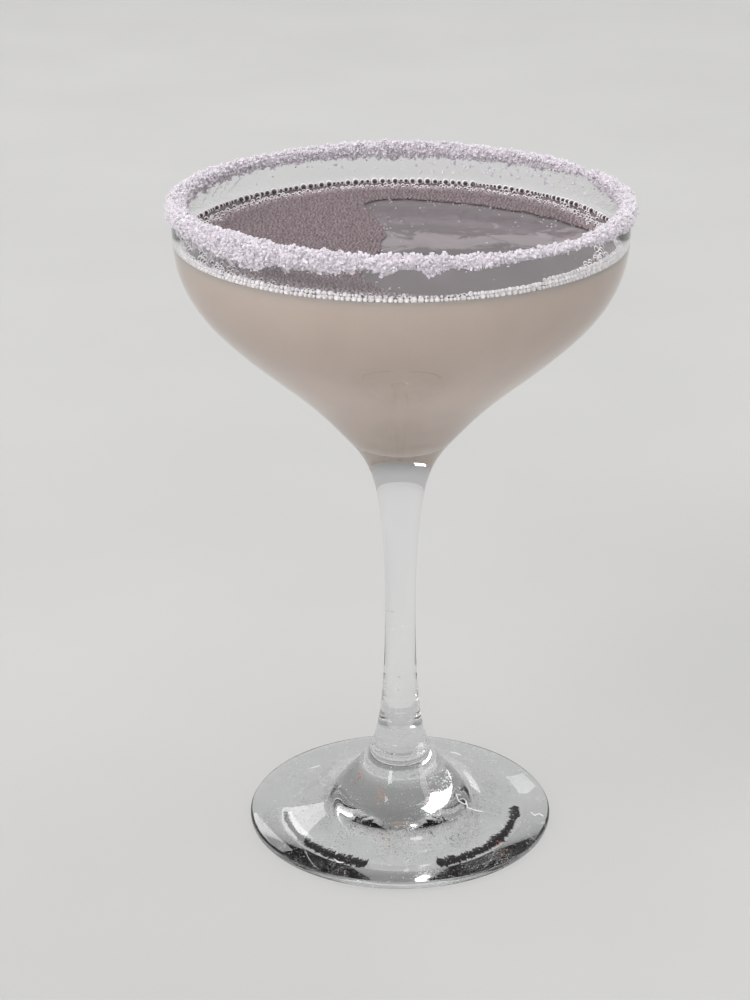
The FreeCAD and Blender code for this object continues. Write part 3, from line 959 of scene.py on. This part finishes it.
def on_outside(bearing, height):
    """A place on the outer face of the wall, with the direction out of it."""
    return around(RIM_RADIUS, bearing, height), around(1, bearing, 0)


def on_inside(bearing, height):
    """A place on the inner face of the wall, with the direction out of it."""
    return around(INNER_RADIUS, bearing, height), around(-1, bearing, 0)


def fallen_places(count):
    """Single grains that stick to the wall just below the crust, outside and inside."""
    places = []
    for _ in range(count):
        bearing = RANDOM.uniform(0, 2 * math.pi)
        section = salt_section(bearing)
        drop = abs(RANDOM.gauss(0, 0.5)) * MM
        if RANDOM.random() < 0.5:
            places.append(on_outside(bearing, section[0][1] - drop))
        else:
            places.append(on_inside(bearing, section[-1][1] - drop))
    return places


def loose_places():
    """Stray grains on the inside of the back wall, between the crust and the froth."""
    places = []
    for _ in range(LOOSE_GRAINS):
        bearings = (RANDOM.gauss(50, 9), RANDOM.gauss(66, 16), RANDOM.uniform(20, 135))
        bearing = math.radians(RANDOM.choice(bearings))
        places.append(on_inside(bearing, RIM - RANDOM.triangular(2.6, 7.0, 3.4) * MM))
    return places


def smudge_places():
    """Salt dust smeared in slanting strokes on the inside of the wall, at the left."""
    places = []
    for low_bearing, low, high_bearing, high in STROKES:
        for _ in range(STROKE_GRAINS):
            share = RANDOM.random()
            degrees = low_bearing + (high_bearing - low_bearing) * share + RANDOM.gauss(0, 0.45)
            height = (low + (high - low) * share + RANDOM.gauss(0, 0.15)) * MM
            places.append(on_inside(math.radians(degrees), height))
    return places


def make_salt():
    """The crust with its grains, and the grains beside it."""
    material = salt_material()
    make_salt_core(material)
    for name, count, lift, sizes in CRUST_GRAINS:
        grain_piece(name, crust_places(count, lift), sizes, material)
    grain_piece("salt_fallen", fallen_places(FALLEN_GRAINS), (0.25 * MM, 0.7 * MM), material)
    grain_piece("salt_loose", loose_places(), (0.6 * MM, 1.3 * MM), material)
    grain_piece("salt_smudge", smudge_places(), (0.08 * MM, 0.24 * MM), material)


# ---- dust, drops and fibres

UPPER_FACE = spline(FOOT_POLES, 300)

PALE_FLAKES = 1000
GREY_FLAKES = 900
FINE_DROPS = 2600
DROP_SIZES = (0.08, 0.1, 0.12, 0.16, 0.24)  # mm
FIBRE_LIFT = Vector((0, 0, 0.06 * MM))

# Groups of specks on the foot: radius in mm, bearing in degrees, and how many.
ORANGE_GROUPS = (
    (14.2, -112, 22), (15.0, -54, 18), (12.0, -13, 5),
    (12.7, -149, 6), (24, -100, 6), (35.9, -43, 5),
)
RED_GROUPS = ((12.7, -149, 8), (33, -38, 4))
DARK_GROUPS = (
    (37.4, -31, 3), (30.3, 10, 4), (22.6, -70, 12),
    (20.5, -100, 14), (17.2, -25, 6), (26, -58, 8),
)

# Each fibre's points on the foot: radius in mm and bearing in degrees.
FIBRES = (
    ((19.2, -24.2), (20.3, -29.4), (22.1, -26.5), (24.1, -22.8)),
    ((30.0, 146.0), (29.2, 143.2), (28.4, 140.8)),
    ((30.2, 62.3), (30.4, 59.0), (30.1, 55.8)),
    ((17.5, -23.0), (16.6, -27.0), (18.0, -31.0), (19.6, -28.0), (19.0, -23.5)),
    ((35.0, -8.0), (36.2, -10.2), (37.3, -8.2), (38.5, -9.5)),
    ((16.9, -166.8), (16.1, -165.6)),
    ((33.8, -120.0), (34.6, -117.0), (34.2, -114.5)),
)

# Each wet arc under the foot: bearing in degrees and width in mm along it.
WET_ARCS = (
    ((-174, 0.8), (-166, 1.3), (-155, 1.1), (-146, 2.0),
     (-134, 2.3), (-122, 2.9), (-112, 3.2), (-106, 3.0)),
    ((-72, 3.0), (-62, 3.0), (-52, 2.4), (-42, 2.1), (-33, 2.9),
     (-22, 1.6), (-12, 1.5), (-6, 2.4), (0, 1.6)),
)
WET_RADIUS = 30.3 * MM
WET_ACROSS = 8  # divisions across an arc


def on_foot(radius, bearing):
    """A point on the foot's upper face."""
    height = float(np.interp(radius, UPPER_FACE[::-1, 0], UPPER_FACE[::-1, 1]))
    return around(radius, bearing, height)


def on_stem(height, bearing):
    """A point on the stem, or on the flare under it."""
    radius = float(np.interp(height, UPPER_FACE[:, 1], UPPER_FACE[:, 0]))
    return around(radius, bearing, height)


def make_specks(name, places, sizes, material):
    """Tiny flakes of dust at the given points."""
    points, faces = [], []
    for place in places:
        size = RANDOM.uniform(*sizes) * MM
        add_crystal(points, faces, place, Vector((0, 0, 1)), size)
    piece = mesh_piece(name, points, faces, material, smooth=False)


def dust_places(count):
    """Places of dust over the foot in uneven patches, and a little on the stem."""
    places = []
    while len(places) < count:
        radius = FOOT_RADIUS * math.sqrt(RANDOM.uniform(0.03, 0.94))
        bearing = RANDOM.uniform(0, 2 * math.pi)
        place = on_foot(radius, bearing)
        if noise.noise(place * 130) + RANDOM.uniform(-0.35, 0.35) > 0.05:
            places.append(place)
    for _ in range(count // 9):
        places.append(on_stem(RANDOM.uniform(15, 60) * MM, RANDOM.uniform(0, 2 * math.pi)))
    return places


def grouped_places(groups, spread):
    """Places of specks gathered in groups, which widen with the spread."""
    places = []
    for radius, bearing, count in groups:
        for _ in range(count):
            r = min(38.0, radius + RANDOM.gauss(0, spread)) * MM
            places.append(on_foot(r, math.radians(bearing + RANDOM.gauss(0, 60 * spread / radius))))
    return places


def add_tube(points, faces, path, radius, sides=6):
    """A thin round thread along a path of points."""
    first = len(points)
    for i, place in enumerate(path):
        along = (path[min(i + 1, len(path) - 1)] - path[max(i - 1, 0)]).normalized()
        side = along.cross(Vector((0, 0, 1))).normalized()
        lift = side.cross(along)
        taper = 0.5 if i in (0, len(path) - 1) else 1.0
        for k in range(sides):
            angle = 2 * math.pi * k / sides
            points.append(place + (side * math.cos(angle) + lift * math.sin(angle)) * radius * taper)
    for i in range(len(path) - 1):
        for k in range(sides):
            a, b = first + i * sides, first + (i + 1) * sides
            faces.append((a + k, a + (k + 1) % sides, b + (k + 1) % sides, b + k))
    faces.append(tuple(first + k for k in reversed(range(sides))))
    faces.append(tuple(first + (len(path) - 1) * sides + k for k in range(sides)))


def make_fibres():
    """Short white threads of lint on the foot."""
    points, faces = [], []
    for fibre in FIBRES:
        corners = []
        for radius, bearing in fibre:
            corners.append(on_foot(radius * MM, math.radians(bearing)) + FIBRE_LIFT)
        path = []
        for a, b in zip(corners, corners[1:]):
            path += [a.lerp(b, share) for share in (0, 0.33, 0.66)]
        path.append(corners[-1])
        add_tube(points, faces, path, RANDOM.uniform(0.10, 0.14) * MM)
    piece = mesh_piece("fibres", points, faces, plain_material("lint", (0.78, 0.77, 0.78), 0.6))


def make_wet_arcs():
    """Dark ragged films of wet caught between the foot's contact ring and the table."""
    points, faces = [], []
    for arc in WET_ARCS:
        start, end = arc[0][0], arc[-1][0]
        steps = int((end - start) * 5)
        first = len(points)
        for step in range(steps + 1):
            degrees = start + (end - start) * step / steps
            width = np.interp(degrees, *zip(*arc)) * MM
            width *= min(1.0, 0.3 + 0.5 * min(step, steps - step) / 3)
            bearing = math.radians(degrees)
            spot = around(1, bearing, 0) * 30
            inner_rag = 0.45 * noise.noise(spot * 1.1) + 0.5 * noise.noise(spot * 3.1)
            outer_spot = spot * 1.3 + Vector((0, 0, 5))
            outer_rag = 0.3 * noise.noise(outer_spot) + 0.35 * noise.noise(spot * 3.7)
            inside = WET_RADIUS - width * (0.62 + inner_rag)
            outside = WET_RADIUS + width * (0.58 + outer_rag)
            for k in range(WET_ACROSS + 1):
                radius = inside + (outside - inside) * k / WET_ACROSS
                swell = 0.02 * MM * math.sin(math.pi * k / WET_ACROSS)
                points.append(around(radius, bearing, 0.03 * MM + swell))
        row = WET_ACROSS + 1
        for step in range(steps):
            for k in range(WET_ACROSS):
                a = first + step * row + k
                faces.append((a, a + 1, a + row + 1, a + row))
    wet = plain_material("dark_wet", (0.012, 0.010, 0.010), 0.25)
    piece = mesh_piece("wet_arcs", points, faces, wet)


def make_drops():
    """Droplets of condensation on the foot's hollow underside, thickest towards its edge."""
    shape, shape_faces = bubble_template(7, 2, 0)
    points, faces = [], []
    while len(faces) < FINE_DROPS * len(shape_faces):
        radius = RANDOM.triangular(13, 29.3, 24) * MM
        bearing = RANDOM.uniform(0, 2 * math.pi)
        c, s = math.cos(bearing), math.sin(bearing)
        if noise.noise(around(radius, bearing, 0.1) * 160) + RANDOM.uniform(-0.3, 0.3) < 0:
            continue
        size = RANDOM.choice(DROP_SIZES) * MM
        under = hollow_height(radius) + 0.01 * MM
        first = len(points)
        for x, y, z in shape:
            points.append((radius * c + size * x, radius * s + size * y, under - 0.5 * size * z))
        faces += [tuple(first + i for i in reversed(face)) for face in shape_faces]
    piece = mesh_piece("fine_drops", points, faces, clear_drop_material())


def make_marks():
    """Everything small that clings to the foot and stem."""
    pale = plain_material("pale_dust", (0.85, 0.84, 0.86), 0.4)
    grey = plain_material("grey_dust", (0.2, 0.18, 0.17), 0.6)
    orange = plain_material("orange_dust", (0.75, 0.22, 0.03), 0.4)
    red = plain_material("red_dust", (0.45, 0.03, 0.02), 0.4)
    dark = plain_material("dark_dirt", (0.02, 0.018, 0.018), 0.5)
    orange_on_stem = [on_stem(28.7 * MM, math.radians(-167))] * 3
    make_specks("pale_dust", dust_places(PALE_FLAKES), (0.1, 0.26), pale)
    make_specks("grey_dust", dust_places(GREY_FLAKES), (0.08, 0.22), grey)
    make_specks("orange_specks", grouped_places(ORANGE_GROUPS, 1.1) + orange_on_stem, (0.18, 0.45), orange)
    make_specks("red_specks", grouped_places(RED_GROUPS, 0.8), (0.18, 0.45), red)
    make_specks("dark_specks", grouped_places(DARK_GROUPS, 0.9), (0.15, 0.5), dark)
    make_fibres()
    make_wet_arcs()
    make_drops()


# ---- stage, lights and camera

PANEL_TARGET = (0, 0, 0.1)


def make_floor():
    """A plain pale floor, a hair under the foot."""
    shader = Shader("floor_paper")
    body = shader.principled((0.50, 0.497, 0.49), 0.6)
    shader.mottle(body, 8, 2, (0.3, (0.49, 0.487, 0.48)), (0.7, (0.51, 0.507, 0.50)))
    under_foot = (0, 0, -0.02 * MM)
    bpy.ops.mesh.primitive_circle_add(vertices=96, radius=6.0, fill_type="NGON", location=under_foot)
    floor = bpy.context.object
    floor.name = "floor"
    floor.data.materials.append(shader.finish(body.outputs[0]))


def hang(light, place, target):
    """Hang a light at a place, turned to its target."""
    lamp = bpy.data.objects.new(light.name, light)
    lamp.location = place
    lamp.rotation_euler = (Vector(target) - Vector(place)).to_track_quat("-Z", "Y").to_euler()
    bpy.context.scene.collection.objects.link(lamp)
    return lamp


def add_panel(name, place, size, power):
    """A lit panel aimed at the glass, itself unseen by the camera."""
    light = bpy.data.lights.new(name, "AREA")
    light.shape = "RECTANGLE"
    light.size, light.size_y = size
    light.energy = power
    hang(light, place, PANEL_TARGET).visible_camera = False


def add_soft_sun(name, place, spread, power, colour=(1, 1, 1)):
    """An even light from one side of the room, unseen through the glass; spread is in degrees."""
    light = bpy.data.lights.new(name, "SUN")
    light.angle = math.radians(spread)
    light.energy = power
    light.color = colour
    lamp = hang(light, place, (0, 0, 0))
    lamp.visible_transmission = False
    lamp.visible_glossy = False


def make_world():
    """A studio room: pale low down, dimmer overhead."""
    shader = Shader("studio", world=True)
    background = shader.node("ShaderNodeBackground")
    background.inputs["Strength"].default_value = 0.9
    room = shader.ramp(shader.parts()["Z"], (0.0, 0.50), (0.10, 0.48), (0.40, 0.34), (0.80, 0.24))
    shader.link(room, background.inputs["Color"])
    bpy.context.scene.world = shader.finish(background.outputs[0])


def make_lights():
    """Four soft suns for the even light, and three panels for the glints."""
    add_soft_sun("key", (-1.0, -0.6, 1.0), 35, 1.3, (1.0, 0.985, 0.96))
    add_soft_sun("fill", (-0.15, -1.5, 0.3), 75, 1.95)
    add_soft_sun("top", (0.1, 0.5, 1.7), 80, 1.3)
    add_soft_sun("back", (0.55, 1.05, 0.8), 45, 0.9, (0.95, 0.97, 1.0))
    add_panel("window", (-0.5, -0.8, 1.0), (0.2, 0.3), 1.1)
    add_panel("strip", (1.0, -0.35, 0.8), (0.3, 0.6), 1.3)
    add_panel("back_window", (-0.5, 1.0, 0.8), (0.4, 0.3), 1.3)


def make_camera():
    """The main view: 0.6 m away, looking 22 degrees down through a long lens."""
    distance, height = 0.53543, 0.30777
    pitch, yaw, roll = math.radians(22.09), math.radians(-0.69), math.radians(-0.16)
    camera_data = bpy.data.cameras.new("camera")
    camera_data.lens = 82.2
    camera_data.sensor_width = 36.0
    camera_data.clip_start = 0.01
    camera = bpy.data.objects.new("camera", camera_data)
    level = math.cos(pitch)
    forward = Vector((math.sin(yaw) * level, math.cos(yaw) * level, -math.sin(pitch)))
    aim = forward.to_track_quat("-Z", "Y").to_matrix().to_4x4()
    place = Matrix.Translation((0, -distance, height))
    camera.matrix_world = place @ aim @ Matrix.Rotation(roll, 4, "Z")
    bpy.context.scene.collection.objects.link(camera)
    bpy.context.scene.camera = camera


# ---- build

bpy.context.scene.view_settings.view_transform = "Standard"
make_camera()
make_world()
make_lights()
make_floor()
make_glass()
make_drink()
make_froth()
make_pin_bubbles()
make_salt()
make_marks()
